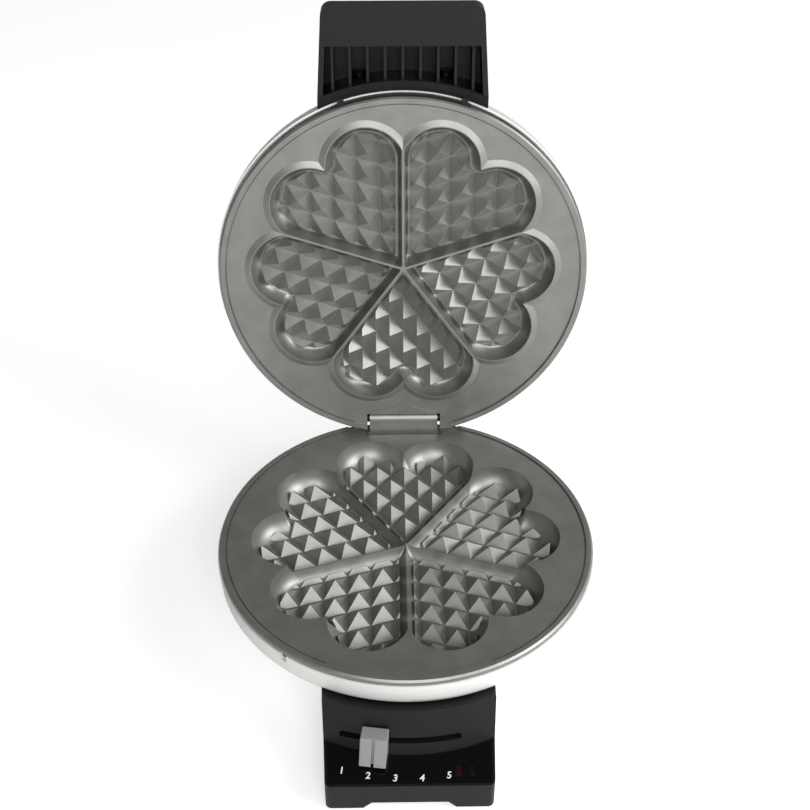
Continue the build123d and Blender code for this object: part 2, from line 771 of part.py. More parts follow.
def above_ledge(inset):
    """Space in front of the slotted wall and over the ledge, each moved inwards by an inset."""
    low = housing_foot_z
    far = -housing_front_y + 40
    top = control_top_z + 8
    with BuildPart() as outside:
        add(ring([(wall_r(top) - inset, top), (far, top), (far, low), (wall_r(low) - inset, low)]))
        with BuildSketch(Plane.YZ.offset(-beyond)):
            with BuildLine():
                Polyline(
                    (-far, at(ledge_z(-far) - inset)), (0, at(ledge_z(0) - inset)),
                    (0, at(top)), (-far, at(top)), close=True,
                )
            make_face()
        extrude(amount=2 * beyond, mode=Mode.INTERSECT)
    return outside.part


def over_gutter(inset):
    """Space over the housing's dished top, lowered by an inset."""
    low = at(gutter_z - inset)
    high = at(control_top_z - inset)
    inner = gutter_r - 30
    outer = control_top_r + 40
    with BuildPart() as space:
        with BuildSketch(Plane.XZ):
            with BuildLine():
                Polyline((inner, at(5)), (inner, low), (gutter_r, low))
                ThreePointArc(
                    (gutter_r, low), (gutter_r + 6.6, at(gutter_z + 1.4 - inset)), (control_top_r + 0.6, high),
                )
                Polyline((control_top_r + 0.6, high), (outer, high), (outer, at(5)), (inner, at(5)))
            make_face()
        revolve(axis=Axis.Z)
    return space.part


ledge_plane = Plane(
    origin=(0, lens_y, at(ledge_z(lens_y))),
    x_dir=(1, 0, 0),
    z_dir=(0, -sin(radians(ledge_slope)), cos(radians(ledge_slope))),
)
with BuildPart() as blank:
    add(grip_block(
        housing_front_y + panel_edge, housing_back_y, housing_half - panel_edge, housing_flare,
        housing_foot_z, control_top_z,
    ))
    add(above_ledge(0), mode=Mode.SUBTRACT)
    add(above_ledge(panel_t), mode=Mode.INTERSECT)
    add(ring([
        (0, control_top_z), (wall_r(control_top_z) + 0.4, control_top_z),
        (wall_r(housing_foot_z) + 0.4, housing_foot_z), (0, housing_foot_z),
    ]), mode=Mode.SUBTRACT)
panel_blank = blank.part

with BuildPart() as red_lens:
    with BuildSketch(ledge_plane.offset(0.3)):
        with Locations((red_x, 0)):
            RectangleRounded(lens_w, lens_l, 0.5)
    extrude(amount=-lens_t)
red_lens.part.label = "red_lens"
export_step(red_lens.part, "parts/red_lens.step")

with BuildPart() as green_lens:
    with BuildSketch(ledge_plane.offset(0.3)):
        with Locations((green_x, 0)):
            RectangleRounded(lens_w, lens_l, 0.5)
    extrude(amount=-lens_t)
green_lens.part.label = "green_lens"
export_step(green_lens.part, "parts/green_lens.step")

with BuildPart() as scale_panel:
    add(panel_blank)
    add(red_lens.part, mode=Mode.SUBTRACT)
    add(green_lens.part, mode=Mode.SUBTRACT)
scale_panel.part.label = "scale_panel"
export_step(scale_panel.part, "parts/scale_panel.step")

casing_clear = dome(
    base_casing_r + seat_gap, 3.0, base_casing_foot_r + seat_gap, base_corner_z,
    base_bottom_r, base_bottom_z - seat_gap,
)
cavity_low = housing_foot_z - 5
with BuildPart() as cavity:
    add(grip_block(
        housing_front_y + black_wall, housing_back_y - 5, housing_half - black_wall, housing_flare,
        cavity_low, control_top_z,
    ))
    add(above_ledge(black_wall), mode=Mode.SUBTRACT)
    add(over_gutter(black_wall), mode=Mode.SUBTRACT)
with BuildPart() as control_housing:
    add(grip_block(
        housing_front_y, housing_back_y, housing_half, housing_flare, housing_foot_z, control_top_z + 2,
    ))
    uprights = control_housing.edges().filter_by(Axis.Z).group_by(Axis.Y)[0]
    fillet(uprights, 3.0)
    add(above_ledge(0), mode=Mode.SUBTRACT)
    add(over_gutter(0), mode=Mode.SUBTRACT)
    add(cavity.part, mode=Mode.SUBTRACT)
    for side in (-1, 1):
        with Locations((side * housing_screw_x, housing_screw_y, at(housing_screw_z))):
            Cylinder(boss_r - 1, 20, align=standing)
    add(casing_clear, mode=Mode.SUBTRACT)
    add(sector(wall_r(arm_z) - 8, wall_r(arm_z) - 1.5, slot_left, slot_right, slot_z - 2.2, arm_z - 0.25))
    add(sector(
        wall_r(slot_z) - 6, wall_r(slot_z) + 8, slot_left, slot_right,
        slot_z - slot_h / 2, slot_z + slot_h / 2,
    ), mode=Mode.SUBTRACT)
    with BuildSketch(Plane.XZ.offset(-housing_back_y)):
        with BuildLine():
            Polyline(
                (-arch_half - arch_h, at(housing_foot_z)), (-arch_half, at(housing_foot_z + arch_h)),
                (arch_half, at(housing_foot_z + arch_h)), (arch_half + arch_h, at(housing_foot_z)),
                close=True,
            )
        make_face()
    extrude(amount=80, mode=Mode.SUBTRACT)
    for side in (-1, 1):
        with Locations((side * pad_x, pad_y, at(housing_foot_z))):
            Box(pad_seat, pad_seat, 4, align=standing)
            Cylinder(pad_r, 1.0, mode=Mode.SUBTRACT)
        with Locations((side * housing_screw_x, housing_screw_y, at(housing_screw_z))):
            Cylinder(screw_r + 0.2, 20, align=standing, mode=Mode.SUBTRACT)
            Cylinder(head_r + 0.3, 20, align=hanging, mode=Mode.SUBTRACT)
    add(panel_blank, mode=Mode.SUBTRACT)
    add(red_lens.part, mode=Mode.SUBTRACT)
    add(green_lens.part, mode=Mode.SUBTRACT)
control_housing.part.label = "control_housing"
export_step(control_housing.part, "parts/control_housing.step")

with BuildPart() as housing_screws:
    for side in (-1, 1):
        with Locations((side * housing_screw_x, housing_screw_y, at(housing_screw_z))):
            add(cap_screw(15))
housing_screws.part.label = "housing_screws"
export_step(housing_screws.part, "parts/housing_screws.step")

with BuildPart() as front_feet:
    with Locations((-pad_x, pad_y, 0), (pad_x, pad_y, 0)):
        Cylinder(pad_r, rim_z + housing_foot_z + 0.5, align=standing)
front_feet.part.label = "front_feet"
export_step(front_feet.part, "parts/front_feet.step")

# The two indicator lamps stand under their lenses in a small holder below the ledge
with BuildPart() as indicator_lamps:
    for x in (red_x, green_x):
        with Locations((x, lens_y, at(lamp_top_z))):
            Cylinder(lamp_r, lamp_l, align=hanging)
            Sphere(lamp_r * 0.6, mode=Mode.SUBTRACT)
indicator_lamps.part.label = "indicator_lamps"
export_step(indicator_lamps.part, "parts/indicator_lamps.step")

with BuildPart() as lamp_holder:
    with Locations(((red_x + green_x) / 2, lens_y - 0.1, at(lamp_top_z + 3))):
        Box(green_x - red_x + 8, 8.6, 9, align=hanging)
    add(above_ledge(black_wall + seat_gap), mode=Mode.SUBTRACT)
    for x in (red_x, green_x):
        with Locations((x, lens_y, at(lamp_top_z + 5))):
            Cylinder(lamp_r + 0.05, 30, mode=Mode.SUBTRACT)
lamp_holder.part.label = "lamp_holder"
export_step(lamp_holder.part, "parts/lamp_holder.step")

with BuildPart() as hinge_pin:
    add(cross_bar(pin_r, ear_far - 0.2))
    chamfer(hinge_pin.edges().filter_by(GeomType.CIRCLE), 0.4)
hinge_pin.part.label = "hinge_pin"
export_step(hinge_pin.part, "parts/hinge_pin.step")


# Lid. Its pieces are drawn shut over the base and then swung open about the hinge.
def swing_open(piece, name, shift=0.0):
    """Turn one piece of the lid to where it rests, and write it."""
    opened = piece.moved(Location((0, shift, 0))).rotate(hinge_axis, -open_angle)
    opened.label = name
    export_step(opened, "parts/" + name + ".step")


def radial(radius, angle, height):
    """Plane on a round wall that looks in at the plate axis."""
    spot = polar(radius, angle, height)
    inward = (-spot[0], -spot[1], 0)
    return Plane(origin=spot, x_dir=(0, 0, 1), z_dir=inward)


def lid_dome(inset):
    """Outer shape of the lid casing, moved inwards by an inset."""
    foot = lid_casing_r - lid_draft - inset
    corner_z = lid_corner_z - corner_share * inset
    return dome(lid_casing_r - inset, lid_edge_z, foot, corner_z, lid_top_r, lid_top_z - inset)


handle_screw_x = 2.5 * fin_pitch
handle_screw_y = -sqrt(recess_r**2 - (handle_screw_x - head_r) ** 2)
handle_screw_l = -handle_screw_y - plate_core_r + 0.7


def facing_back(side):
    """Plane of a handle screw, whose shank runs towards the hinge."""
    spot = (side * handle_screw_x, handle_screw_y, at(handle_screw_z))
    return Plane(origin=spot, x_dir=(1, 0, 0), z_dir=(0, 1, 0))


# Upper plate: flat flange with its raised rim, the flower bead round the hearts, five sharp
# edged pockets, the notch for the lug and the two ears that turn on the hinge pin.
upper_pocket = dished_pocket(crest_z - 0.01, upper_floor_z, upper_lip, upper_foot)
upper_pyramids = pyramid_field(
    upper_floor_z + 1.0, upper_floor_z, upper_floor_z - pyramid_h, 0.5, upper_valley_flat, upper_field_rib,
)
with BuildPart() as flower_bead:
    with BuildSketch(Plane.XY.offset(at(upper_flange_z + 0.01))):
        with BuildLine():
            flower_line(lobe_r + crest_w + crest_slope_w)
        make_face()
    with BuildSketch(Plane.XY.offset(at(crest_z))):
        with BuildLine():
            flower_line(lobe_r + crest_w)
        make_face()
    loft(ruled=True)
upper_groove_r = upper_rim_r - ring_w
upper_tube = element(upper_back_z, element_r + terminal_l)
notch_half = lug_half + ear_gap
flange_back_z = upper_flange_z + upper_core_t
upper_rim = ring([
    (0, upper_flange_z), (upper_groove_r - ring_groove, upper_flange_z),
    (upper_groove_r - ring_groove, upper_flange_z + 0.9), (upper_groove_r, upper_flange_z + 0.9),
    (upper_groove_r, closed_gap), (upper_rim_r - 0.8, closed_gap), (upper_rim_r, closed_gap + 0.8),
    (upper_rim_r, 3.8), (upper_skirt_r, 3.8), (upper_skirt_r, 8), (step_r, 8), (step_r, flange_back_z),
    (0, flange_back_z),
])
with BuildPart() as lid_bosses:
    for side in (-1, 1):
        with Locations((side * handle_screw_x, -92.1, at(handle_screw_z))):
            Box(10, 92.1 - plate_core_r + 3.3, 8, align=(Align.CENTER, Align.MIN, Align.CENTER))
        with Locations(radial(plate_core_r + 5, side * rear_angle, lid_screw_z)):
            Box(8, 10, 13, align=standing)
    add(lid_dome(wall + seat_gap), mode=Mode.INTERSECT)
with BuildPart() as lid_bores:
    for side in (-1, 1):
        with Locations(facing_back(side)):
            Cylinder(screw_r, handle_screw_l, align=standing)
        with Locations(radial(plate_core_r + 6, side * rear_angle, lid_screw_z)):
            Cylinder(screw_r, 12, align=standing)
with BuildPart() as shield_posts:
    for angle in base_boss_angles:
        with Locations(polar(base_boss_r, angle, upper_back_z)):
            Cylinder(boss_r, boss_h, align=standing)
with BuildPart() as shield_bores:
    for angle in base_boss_angles:
        with Locations(polar(base_boss_r, angle, upper_back_z - 3)):
            Cylinder(screw_r, boss_h + 5, align=standing)
to_casing = Location((0, lid_shift, 0))
to_hearts = Location((0, heart_shift, 0))
gable_foot_y = gable_y + gable_l
gable_mid_y = gable_y + 0.65 * gable_l
with BuildPart() as upper_plate:
    add(upper_rim)
    with Locations((0, heart_shift, at(upper_flange_z + 0.1))):
        Cylinder(plate_core_r, upper_back_z - upper_flange_z - 0.1, align=standing)
    add(flower_bead.part.moved(to_hearts))
    with BuildSketch(Plane.XY.offset(at(upper_flange_z - 0.4))):
        with BuildLine():
            ThreePointArc((0, gable_y), (gable_half / 2, gable_mid_y), (gable_half, gable_foot_y))
            Polyline(
                (gable_half, gable_foot_y), (gable_half, notch_y + 1),
                (-gable_half, notch_y + 1), (-gable_half, gable_foot_y),
            )
            ThreePointArc((-gable_half, gable_foot_y), (-gable_half / 2, gable_mid_y), (0, gable_y))
        make_face()
    extrude(amount=1.0)
    add(lid_bosses.part.moved(to_casing))
    with Locations(to_hearts):
        with PolarLocations(0, hearts, start_angle=90):
            add(upper_pocket, mode=Mode.SUBTRACT)
    with Locations(to_hearts):
        with PolarLocations(0, hearts, start_angle=90):
            add(upper_pyramids)
    for side in (-1, 1):
        middle = side * (notch_half + ear_w / 2)
        add(cross_bar(ear_r, ear_w / 2, middle))
        with Locations((middle, hinge_y, at(upper_flange_z + 0.1))):
            Box(ear_w, 2 * ear_r, hinge_z - upper_flange_z - 0.1, align=standing)
    with Locations((0, notch_y, at(0))):
        Box(2 * notch_half, 20, 20, align=(Align.CENTER, Align.MIN, Align.MIN), mode=Mode.SUBTRACT)
    add(cross_bar(lug_r + turn_gap, notch_half), mode=Mode.SUBTRACT)
    add(cross_bar(pin_r + pin_play, ear_far + 1), mode=Mode.SUBTRACT)
    add(shield_posts.part.moved(to_hearts))
    add(shield_bores.part.moved(to_hearts), mode=Mode.SUBTRACT)
    add(lid_bores.part.moved(to_casing), mode=Mode.SUBTRACT)
    add(upper_tube.moved(to_hearts), mode=Mode.SUBTRACT)
swing_open(upper_plate.part, "upper_plate")
swing_open(upper_tube, "upper_element", heart_shift)

upper_shield_z = upper_back_z + boss_h
with BuildPart() as upper_shield:
    add(ring([
        (0, upper_shield_z), (shield_r - shield_t, upper_shield_z),
        (shield_r - shield_t, upper_shield_z - shield_lip), (shield_r, upper_shield_z - shield_lip),
        (shield_r, upper_shield_z + shield_t), (0, upper_shield_z + shield_t),
    ]))
    for angle in base_boss_angles:
        with Locations(polar(base_boss_r, angle, upper_shield_z)):
            Cylinder(screw_r + 0.3, 4, mode=Mode.SUBTRACT)
    for side in (-1, 1):
        with Locations(polar(element_ring_r, 180 + side * element_gap / 2, upper_shield_z)):
            Cylinder(element_r + 1.5, 4, mode=Mode.SUBTRACT)
swing_open(upper_shield.part, "upper_shield", heart_shift)

with BuildPart() as shield_screws:
    for angle in base_boss_angles:
        with Locations(Plane(origin=polar(base_boss_r, angle, upper_shield_z + shield_t), z_dir=(0, 0, -1))):
            add(cap_screw(6))
swing_open(shield_screws.part, "shield_screws", heart_shift)

# Lid casing: thin white shell with a cut-out at the back for the hinge
with BuildPart() as lid_casing:
    add(lid_dome(0))
    add(lid_dome(wall), mode=Mode.SUBTRACT)
    with Locations((0, 0, at(lid_edge_z - 1))):
        Cylinder(lid_casing_r - lid_lip_w, lid_lip_h + 1, align=standing, mode=Mode.SUBTRACT)
    with Locations((0, lid_casing_r, at(lid_edge_z - 1))):
        Box(
            2 * cutout_half, 30, cutout_z - lid_edge_z + 1, align=standing,
            mode=Mode.SUBTRACT,
        )
    for side in (-1, 1):
        with Locations(facing_back(side)):
            Cylinder(screw_r + 0.2, 20, align=standing, mode=Mode.SUBTRACT)
        with Locations(radial(lid_casing_r + 1, side * rear_angle, lid_screw_z)):
            Cylinder(screw_r + 0.2, 8, align=standing, mode=Mode.SUBTRACT)
swing_open(lid_casing.part, "lid_casing", lid_shift)

# Handle: black block whose underside looks up when the lid stands open
lid_clear = dome(
    lid_casing_r + seat_gap, lid_edge_z - seat_gap, lid_casing_r - lid_draft + seat_gap, lid_corner_z,
    lid_top_r, lid_top_z + seat_gap,
)
handle_root_y = lid_draft - lid_casing_r
with BuildPart() as recess:
    add(grip_block(
        recess_front_y, handle_back_y, handle_half - recess_wall, handle_flare,
        handle_under_z - 1, recess_z,
    ))
    add(ring([(0, 40), (recess_r, 40), (recess_r, -20), (0, -20)]), mode=Mode.SUBTRACT)
with BuildPart() as lid_handle:
    add(grip_block(handle_tip_y, handle_back_y, handle_half, handle_flare, handle_under_z, handle_root_top))
    tip_corners = lid_handle.edges().filter_by(Axis.Z).group_by(Axis.Y)[0]
    fillet(tip_corners, 5)
    with BuildSketch(Plane.YZ.offset(-beyond)):
        with BuildLine():
            Polyline(
                (handle_tip_y - 5, at(handle_root_top + 5)), (handle_tip_y - 5, at(handle_tip_top - 2.7)),
                (handle_root_y, at(handle_root_top)), (handle_root_y, at(handle_root_top + 5)), close=True,
            )
        make_face()
    extrude(amount=2 * beyond, mode=Mode.SUBTRACT)
    add(recess.part, mode=Mode.SUBTRACT)
    with Locations((0, recess_front_y - 0.5, at(fin_z))):
        with GridLocations(fin_pitch, 1, fins, 1):
            Box(
                fin_t, handle_root_y - recess_front_y, recess_z - fin_z + 0.5,
                align=(Align.CENTER, Align.MIN, Align.MIN),
            )
    add(ring([
        (0, lid_edge_z - seat_gap), (handle_band_r, lid_edge_z - seat_gap), (handle_band_r, handle_band_z),
        (handle_band_r + recess_slope, handle_under_z), (handle_band_r + recess_slope, handle_under_z - 1),
        (0, handle_under_z - 1),
    ]), mode=Mode.SUBTRACT)
    add(lid_clear, mode=Mode.SUBTRACT)
    add(sector(
        tongue_r, lid_casing_r - lid_lip_w - seat_gap, -tongue_angle, tongue_angle,
        tongue_z, lid_edge_z + lid_lip_h - seat_gap,
    ))
    for side in (-1, 1):
        turn = degrees(hook_w / handle_band_r) / 2
        middle = side * hook_angle
        add(sector(
            tongue_r + 0.2, handle_band_r + 0.2, middle - turn, middle + turn,
            handle_band_z, lid_edge_z - 0.2,
        ))
        with Locations(facing_back(side)):
            Cylinder(screw_r + 0.2, 20, align=standing, mode=Mode.SUBTRACT)
            Cylinder(head_r + 0.1, head_h, align=hanging, mode=Mode.SUBTRACT)
swing_open(lid_handle.part, "lid_handle", lid_shift)

with BuildPart() as handle_screws:
    for side in (-1, 1):
        with Locations(facing_back(side)):
            add(cap_screw(handle_screw_l))
swing_open(handle_screws.part, "handle_screws", lid_shift)

with BuildPart() as lid_rear_screws:
    for side in (-1, 1):
        with Locations(radial(lid_casing_r + 0.1, side * rear_angle, lid_screw_z)):
            add(cap_screw(lid_casing_r - plate_core_r + 5))
swing_open(lid_rear_screws.part, "lid_rear_screws", lid_shift)
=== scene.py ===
import math

import bpy
import numpy as np
from mathutils import Matrix, Vector


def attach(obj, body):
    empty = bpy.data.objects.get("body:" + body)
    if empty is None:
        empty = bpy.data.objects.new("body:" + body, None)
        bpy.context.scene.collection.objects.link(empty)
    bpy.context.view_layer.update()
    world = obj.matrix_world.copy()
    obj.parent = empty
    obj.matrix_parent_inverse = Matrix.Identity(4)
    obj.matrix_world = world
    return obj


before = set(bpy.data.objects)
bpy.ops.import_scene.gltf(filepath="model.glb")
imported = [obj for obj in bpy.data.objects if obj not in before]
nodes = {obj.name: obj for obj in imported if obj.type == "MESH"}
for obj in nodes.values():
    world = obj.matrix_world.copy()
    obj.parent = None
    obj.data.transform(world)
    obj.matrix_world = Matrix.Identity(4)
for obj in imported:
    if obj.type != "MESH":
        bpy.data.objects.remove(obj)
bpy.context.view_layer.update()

scene = bpy.context.scene
scene.view_settings.view_transform = "Standard"

# Camera: stands in front of the open iron, a little left of its middle, and looks 38.5 degrees
# down on it through a 60 mm lens, so that both plates show whole.
down_angle = math.radians(38.52)
turn_angle = math.radians(-0.883)
roll_angle = math.radians(0.044)
camera = bpy.data.objects.new("camera", bpy.data.cameras.new("camera"))
scene.collection.objects.link(camera)
camera.data.lens = 59.95
camera.data.sensor_width = 36.0
camera.data.clip_start = 0.01
stand = Matrix.Translation((-0.00819, -0.49755, 0.53647))
turn = Matrix.Rotation(turn_angle, 4, "Z")
tilt = Matrix.Rotation(math.pi / 2 - down_angle, 4, "X")
roll = Matrix.Rotation(roll_angle, 4, "Z")
camera.matrix_world = stand @ turn @ tilt @ roll
scene.camera = camera


# Studio: a wide sheet of white paper, a large soft light at the right and a weaker one in front.
# The surround is bright on the right and dim on the left, behind and overhead, which gives the
# pyramids their dark flanks and the lower plate its dark tone.
def linear(colour):
    """Turn an sRGB hex colour into linear red, green, blue and alpha."""
    parts = np.array([int(colour[i:i + 2], 16) / 255 for i in (1, 3, 5)])
    low = parts / 12.92
    high = ((parts + 0.055) / 1.055) ** 2.4
    return (*np.where(parts <= 0.04045, low, high), 1.0)


def blank(name):
    """A new material whose node tree is empty."""
    material = bpy.data.materials.new(name)
    material.use_nodes = True
    material.node_tree.nodes.clear()
    return material


def add(tree, kind, inputs, **settings):
    """Add one node with its settings, and give each named input a value or a link."""
    node = tree.nodes.new(kind)
    for name, value in settings.items():
        setattr(node, name, value)
    for name, value in inputs.items():
        if isinstance(value, bpy.types.NodeSocket):
            tree.links.new(value, node.inputs[name])
        else:
            node.inputs[name].default_value = value
    return node


def floor_points(reach, height):
    """Flat square: x and y each take the values -reach and reach, and z is the same all over."""
    grid_y, grid_x = np.meshgrid((-reach, reach), (-reach, reach), indexing="ij")
    return np.stack([grid_x, grid_y, np.full_like(grid_x, height)], axis=-1)


def from_grid(name, points):
    """Mesh of a surface from its grid of points, rows by columns."""
    rows, columns = points.shape[:2]
    index = np.arange(rows * columns).reshape(rows, columns)
    quads = np.stack([index[:-1, :-1], index[:-1, 1:], index[1:, 1:], index[1:, :-1]], axis=-1)
    mesh = bpy.data.meshes.new(name)
    mesh.from_pydata(points.reshape(-1, 3), [], quads.reshape(-1, 4))
    mesh.validate()
    return mesh


floor_reach = 6.0
floor_height = -0.0002
floor = bpy.data.objects.new("floor", from_grid("floor", floor_points(floor_reach, floor_height)))
scene.collection.objects.link(floor)

# The camera alone sees the paper lifted, so that it is as white as the background and keeps
# the iron's soft shadow.
sheet_of_paper = blank("white studio paper")
tree = sheet_of_paper.node_tree
paper = add(tree, "ShaderNodeBsdfDiffuse", {"Color": linear("#f4f4f4")})
lift = add(tree, "ShaderNodeEmission", {"Color": linear("#ffffff"), "Strength": 0.5})
lifted = add(tree, "ShaderNodeAddShader", {0: paper.outputs[0], 1: lift.outputs[0]})
path = add(tree, "ShaderNodeLightPath", {})
shown = add(tree, "ShaderNodeMixShader", {
    0: path.outputs["Is Camera Ray"], 1: paper.outputs[0], 2: lifted.outputs[0],
})
add(tree, "ShaderNodeOutputMaterial", {"Surface": shown.outputs[0]})
floor.data.materials.append(sheet_of_paper)

surround = bpy.data.worlds.new("surround")
surround.use_nodes = True
surround.node_tree.nodes.clear()
tree = surround.node_tree
around = add(tree, "ShaderNodeTexCoord", {})
direction = add(tree, "ShaderNodeSeparateXYZ", {"Vector": around.outputs["Generated"]})

# Each row is an axis, where the fade along it starts and ends, and the brightness at both.
strength = 1.0
for axis, start, end, at_start, at_end in (
    ("X", -0.7, 0.7, 0.2, 1.0),
    ("Y", -0.1, 0.75, 1.0, 0.38),
    ("Z", 0.68, 0.9, 1.0, 0.12),
):
    fade = add(tree, "ShaderNodeMapRange", {
        "Value": direction.outputs[axis], "From Min": start, "From Max": end,
        "To Min": at_start, "To Max": at_end,
    }, interpolation_type="SMOOTHSTEP")
    product = add(tree, "ShaderNodeMath", {0: strength, 1: fade.outputs[0]}, operation="MULTIPLY")
    strength = product.outputs[0]
dim = add(tree, "ShaderNodeBackground", {"Color": linear("#ffffff"), "Strength": strength})
plain = add(tree, "ShaderNodeBackground", {"Color": linear("#ffffff"), "Strength": 1.0})
path = add(tree, "ShaderNodeLightPath", {})
shown = add(tree, "ShaderNodeMixShader", {
    0: path.outputs["Is Camera Ray"], 1: dim.outputs[0], 2: plain.outputs[0],
})
add(tree, "ShaderNodeOutputWorld", {"Surface": shown.outputs[0]})
scene.world = surround

lit_point = Vector((0, 0, 0.1))
for name, place, width, watts in (
    ("key", (1.25, -0.45, 0.85), 0.9, 14.5),
    ("front", (0.1, -1.6, 1.2), 1.2, 18.0),
):
    lamp = bpy.data.objects.new(name, bpy.data.lights.new(name, "AREA"))
    lamp.data.size = width
    lamp.data.energy = watts
    lamp.location = place
    lamp.rotation_euler = (Vector(place) - lit_point).to_track_quat("Z", "Y").to_euler()
    scene.collection.objects.link(lamp)


# The two plates: aluminium castings, sprayed with a grey non-stick coat that has fine metallic
# flakes in it and is baked on, so it is satin, a little warm and slightly mottled. The flakes
# are about 0.1 mm and are drawn coarser, so that they show.
def dress(material, *names):
    """Give one material to whole nodes of the frame."""
    for name in names:
        for place in nodes[name].material_slots:
            place.material = material


mottle_width = 0.0111
flake_width = 0.000625
coat = blank("non-stick coat on cast aluminium")
tree = coat.node_tree
place = add(tree, "ShaderNodeTexCoord", {})
mottle = add(tree, "ShaderNodeTexNoise", {
    "Vector": place.outputs["Object"], "Scale": 1 / mottle_width, "Detail": 4.0,
})
ramp = add(tree, "ShaderNodeValToRGB", {"Fac": mottle.outputs["Fac"]})
ramp.color_ramp.elements[0].position = 0.35
ramp.color_ramp.elements[0].color = linear("#8e8d89")
ramp.color_ramp.elements[1].position = 0.65
ramp.color_ramp.elements[1].color = linear("#989793")
flakes = add(tree, "ShaderNodeTexNoise", {
    "Vector": place.outputs["Object"], "Scale": 1 / flake_width, "Detail": 2.0,
})
bump = add(tree, "ShaderNodeBump", {
    "Height": flakes.outputs["Fac"], "Strength": 0.12, "Distance": 0.0001,
})
shine = add(tree, "ShaderNodeMapRange", {
    "Value": mottle.outputs["Fac"], "To Min": 0.36, "To Max": 0.44,
})
skin = add(tree, "ShaderNodeBsdfPrincipled", {
    "Base Color": ramp.outputs["Color"], "Metallic": 0.7, "Roughness": shine.outputs[0],
    "Normal": bump.outputs["Normal"],
})
add(tree, "ShaderNodeOutputMaterial", {"Surface": skin.outputs[0]})
dress(coat, "lower_plate", "upper_plate")

# The two casings, with the cover below: polypropylene, moulded glossy white. The melt flows
# unevenly in the mould, which shows as a faint change of shine over a centimetre or two.
flow_width = 0.0167
white = blank("glossy white polypropylene")
tree = white.node_tree
place = add(tree, "ShaderNodeTexCoord", {})
flow = add(tree, "ShaderNodeTexNoise", {
    "Vector": place.outputs["Object"], "Scale": 1 / flow_width, "Detail": 2.0,
})
shine = add(tree, "ShaderNodeMapRange", {
    "Value": flow.outputs["Fac"], "To Min": 0.16, "To Max": 0.24,
})
skin = add(tree, "ShaderNodeBsdfPrincipled", {
    "Base Color": linear("#f3f3f0"), "Roughness": shine.outputs[0], "IOR": 1.5,
})
add(tree, "ShaderNodeOutputMaterial", {"Surface": skin.outputs[0]})
dress(white, "base_casing", "lid_casing", "bottom_cover")

# Handle and control housing: polybutylene, a black plastic that stands the heat, moulded with
# a fine spark-eroded grain that spreads the shine. The grain is drawn coarser than its real
# 0.2 mm, so that it shows.
grain_width = 0.000556
black = blank("black moulded polybutylene")
tree = black.node_tree
place = add(tree, "ShaderNodeTexCoord", {})
grain = add(tree, "ShaderNodeTexNoise", {
    "Vector": place.outputs["Object"], "Scale": 1 / grain_width, "Detail": 2.0,
})
bump = add(tree, "ShaderNodeBump", {
    "Height": grain.outputs["Fac"], "Strength": 0.2, "Distance": 0.0001,
})
skin = add(tree, "ShaderNodeBsdfPrincipled", {
    "Base Color": linear("#111112"), "Roughness": 0.42, "IOR": 1.5, "Specular IOR Level": 0.35,
    "Normal": bump.outputs["Normal"],
})
add(tree, "ShaderNodeOutputMaterial", {"Surface": skin.outputs[0]})
dress(black, "lid_handle", "control_housing")

# Scale panel: a thin plate of polished black polycarbonate with a faint haze, set into the
# ledge of the housing.
haze_width = 0.00833
gloss = blank("polished black polycarbonate")
tree = gloss.node_tree
place = add(tree, "ShaderNodeTexCoord", {})
haze = add(tree, "ShaderNodeTexNoise", {
    "Vector": place.outputs["Object"], "Scale": 1 / haze_width, "Detail": 3.0,
})
shine = add(tree, "ShaderNodeMapRange", {
    "Value": haze.outputs["Fac"], "To Min": 0.06, "To Max": 0.13,
})
skin = add(tree, "ShaderNodeBsdfPrincipled", {
    "Base Color": linear("#060607"), "Roughness": shine.outputs[0], "IOR": 1.585,
})
add(tree, "ShaderNodeOutputMaterial", {"Surface": skin.outputs[0]})
dress(gloss, "scale_panel")

# Print on the panel: the five settings of the thermostat, screen printed in white ink along
# an arc about the plate's middle. The ledge slopes down to the front from the slotted wall,
# whose foot is rim_to_foot below the plate's rim at wall_foot_y.
ink_width = 0.00025
digit_height = 0.0046
digit_slant = 0.15
stroke_gain = 0.00008
ink_depth = 0.00002
print_gap = 0.00003
scale_radius = 0.121
ledge_slope = math.radians(12)
rim_height = 0.0545
rim_to_foot = 0.034
wall_foot_y = -0.1095
setting_angles = (-15.1, -9.2, -3.25, 2.6, 8.5)

ink = blank("white screen print")
tree = ink.node_tree
place = add(tree, "ShaderNodeTexCoord", {})
cover = add(tree, "ShaderNodeTexNoise", {
    "Vector": place.outputs["Object"], "Scale": 1 / ink_width, "Detail": 2.0,
})
ramp = add(tree, "ShaderNodeValToRGB", {"Fac": cover.outputs["Fac"]})
ramp.color_ramp.elements[0].color = linear("#dededc")
ramp.color_ramp.elements[1].color = linear("#fafaf8")
skin = add(tree, "ShaderNodeBsdfPrincipled", {
    "Base Color": ramp.outputs["Color"], "Roughness": 0.5, "IOR": 1.5,
})
add(tree, "ShaderNodeOutputMaterial", {"Surface": skin.outputs[0]})

